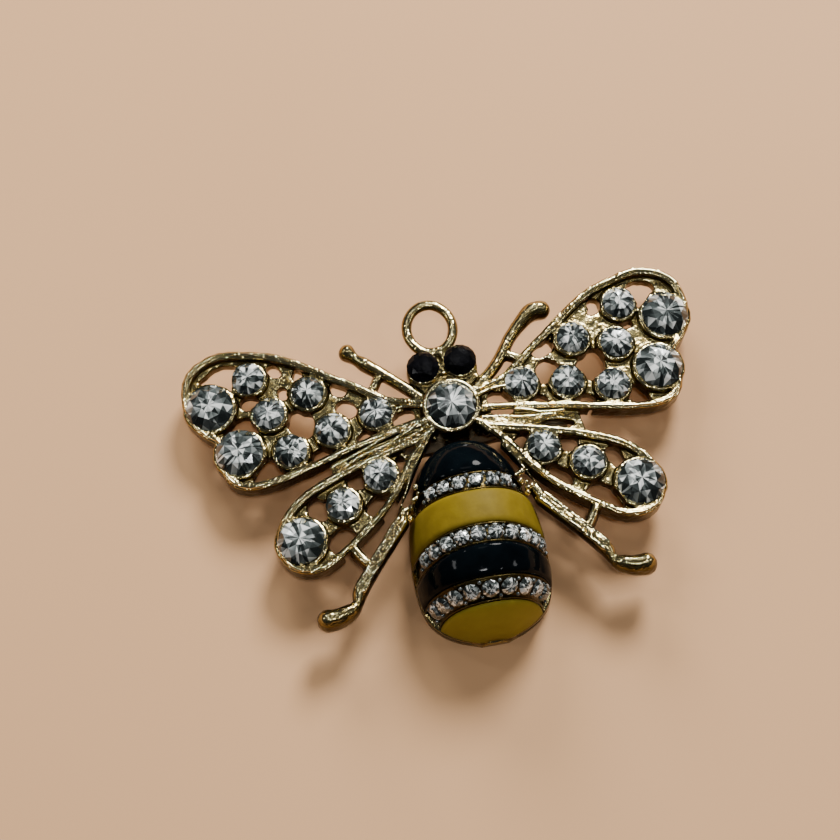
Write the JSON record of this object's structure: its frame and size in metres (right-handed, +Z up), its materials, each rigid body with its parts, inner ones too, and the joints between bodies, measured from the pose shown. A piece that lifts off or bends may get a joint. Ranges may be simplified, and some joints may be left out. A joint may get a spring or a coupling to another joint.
{
  "type": "insect brooch",
  "caption": "Bee brooch: cast openwork wings set with round cut stones, domed abdomen in enamel bands and stone rows, hanging loop and plain bar pin on the back.",
  "frame": {"origin": "middle of the footprint, on the surface that the brooch lies on", "axes": "+Z up out of the stones, +Y towards the bee's head and hanging loop, +X towards the wing at the right of the picture"},
  "size_m": [0.0492, 0.0332, 0.0094],
  "materials": {
    "cast_metal": "polished pale gold plating over a lumpy cast surface",
    "clear_stone": "faceted, clear, foil backed",
    "black_stone": "faceted, near black, soft sheen",
    "black_enamel": "glossy enamel",
    "yellow_enamel": "glossy enamel, slightly cloudy",
    "pin_steel": "plain plated steel"
  },
  "bodies": {
    "root": {"casting": "cast_metal", "thorax_stone": "clear_stone", "eye_left": "black_stone", "eye_right": "black_stone", "fore_stone_right_1": "clear_stone", "fore_stone_right_2": "clear_stone", "fore_stone_right_3": "clear_stone", "fore_stone_right_4": "clear_stone", "fore_stone_right_5": "clear_stone", "fore_stone_right_6": "clear_stone", "fore_stone_right_7": "clear_stone", "fore_stone_right_8": "clear_stone", "fore_stone_left_1": "clear_stone", "fore_stone_left_2": "clear_stone", "fore_stone_left_3": "clear_stone", "fore_stone_left_4": "clear_stone", "fore_stone_left_5": "clear_stone", "fore_stone_left_6": "clear_stone", "fore_stone_left_7": "clear_stone", "fore_stone_left_8": "clear_stone", "hind_stone_right_1": "clear_stone", "hind_stone_right_2": "clear_stone", "hind_stone_right_3": "clear_stone", "hind_stone_left_1": "clear_stone", "hind_stone_left_2": "clear_stone", "hind_stone_left_3": "clear_stone", "stone_row_front": "clear_stone", "stone_row_middle": "clear_stone", "stone_row_tail": "clear_stone", "enamel_black_front": "black_enamel", "enamel_yellow_middle": "yellow_enamel", "enamel_black_middle": "black_enamel", "enamel_yellow_tail": "yellow_enamel", "brooch_pin": "pin_steel"}
  },
  "joints": []
}
